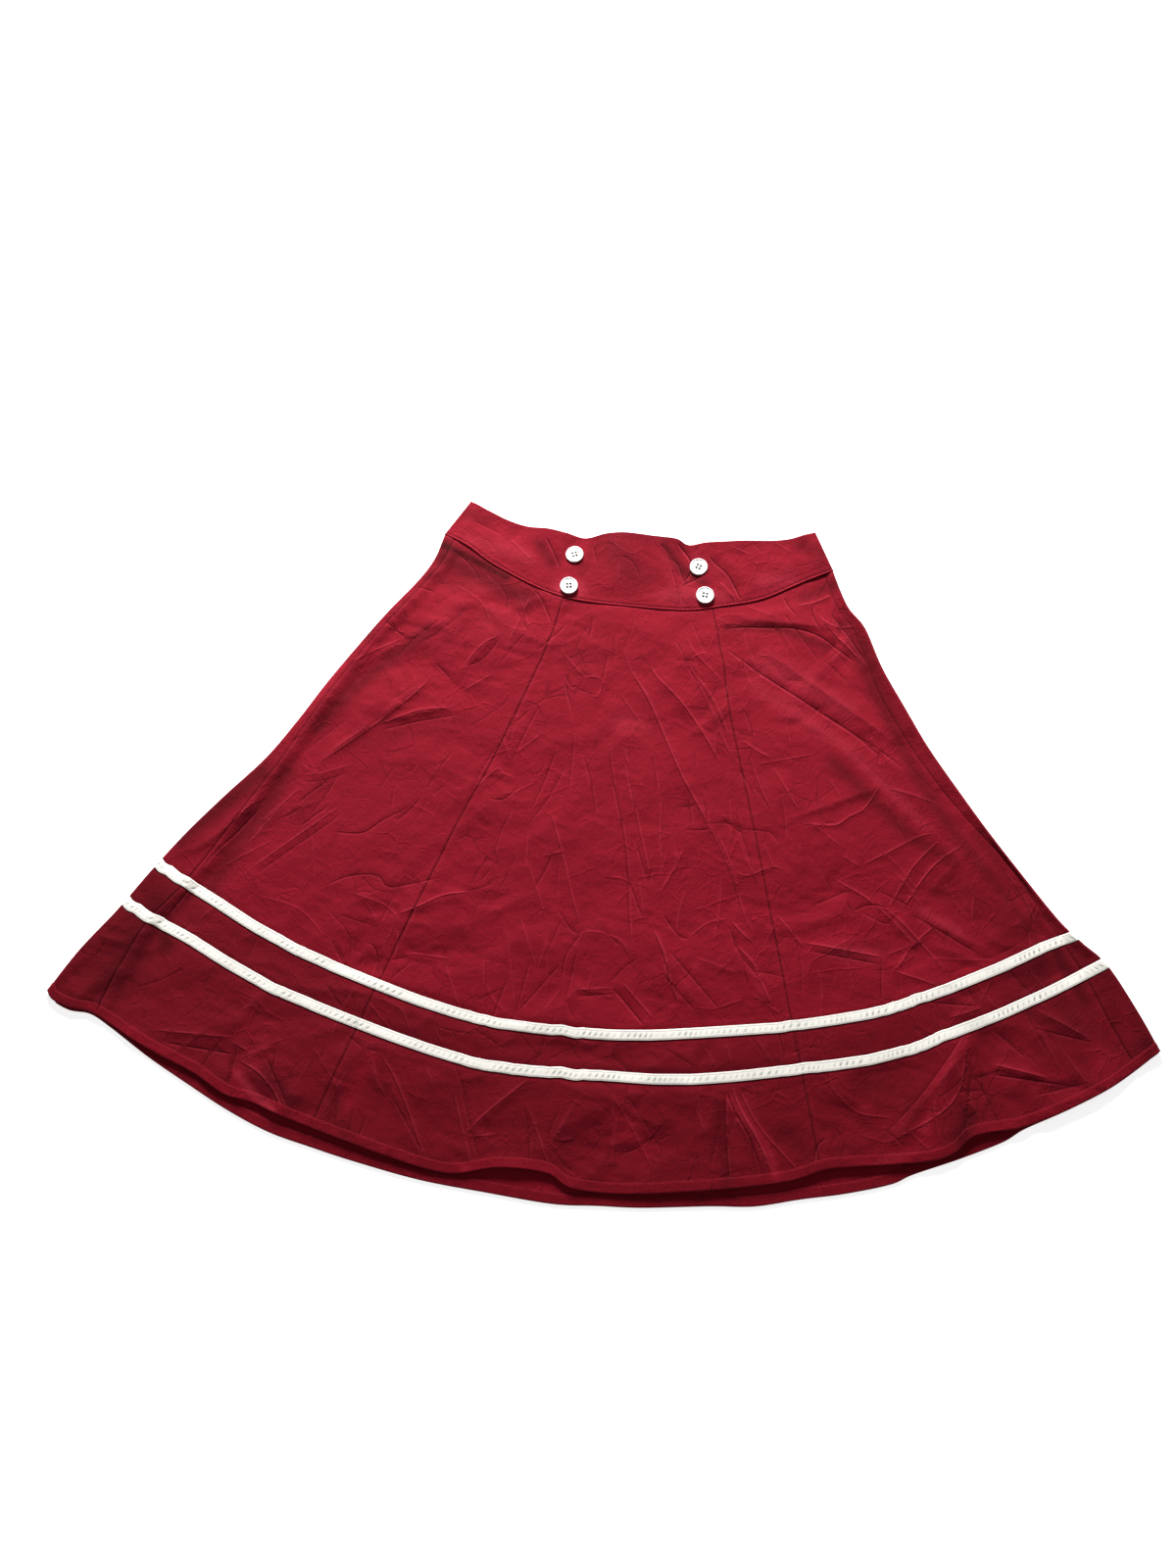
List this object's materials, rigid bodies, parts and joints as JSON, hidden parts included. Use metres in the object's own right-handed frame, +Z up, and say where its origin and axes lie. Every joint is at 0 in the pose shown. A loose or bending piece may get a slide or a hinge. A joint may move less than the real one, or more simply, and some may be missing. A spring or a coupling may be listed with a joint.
{
  "type": "a-line skirt",
  "caption": "Flared a-line skirt laid flat, with a shaped, buttoned waistband, panelled front, two pale tapes above the hem, and back halves that turn round the sides.",
  "frame": {"origin": "centre of the laid-out skirt's box, on the surface that it lies on", "axes": "+X across the skirt to the right as its front is seen, +Y up the skirt from hem to waist, +Z up off the surface"},
  "size_m": [1.0275, 0.6798, 0.0102],
  "materials": {
    "cotton": "deep red cotton sateen, soft low sheen, creased",
    "tape": "off-white woven tape, matt, stitched along both edges",
    "button": "off-white polished plastic"
  },
  "bodies": {
    "root": {"waistband_front": "cotton", "waistband_back_left": "cotton", "waistband_back_right": "cotton", "front_left": "cotton", "front_centre": "cotton", "front_right": "cotton", "back_left": "cotton", "back_right": "cotton", "tape_upper_front": "tape", "tape_upper_back_left": "tape", "tape_upper_back_right": "tape", "tape_lower_front": "tape", "tape_lower_back_left": "tape", "tape_lower_back_right": "tape", "button_left_upper": "button", "button_left_lower": "button", "button_right_upper": "button", "button_right_lower": "button"}
  },
  "joints": []
}
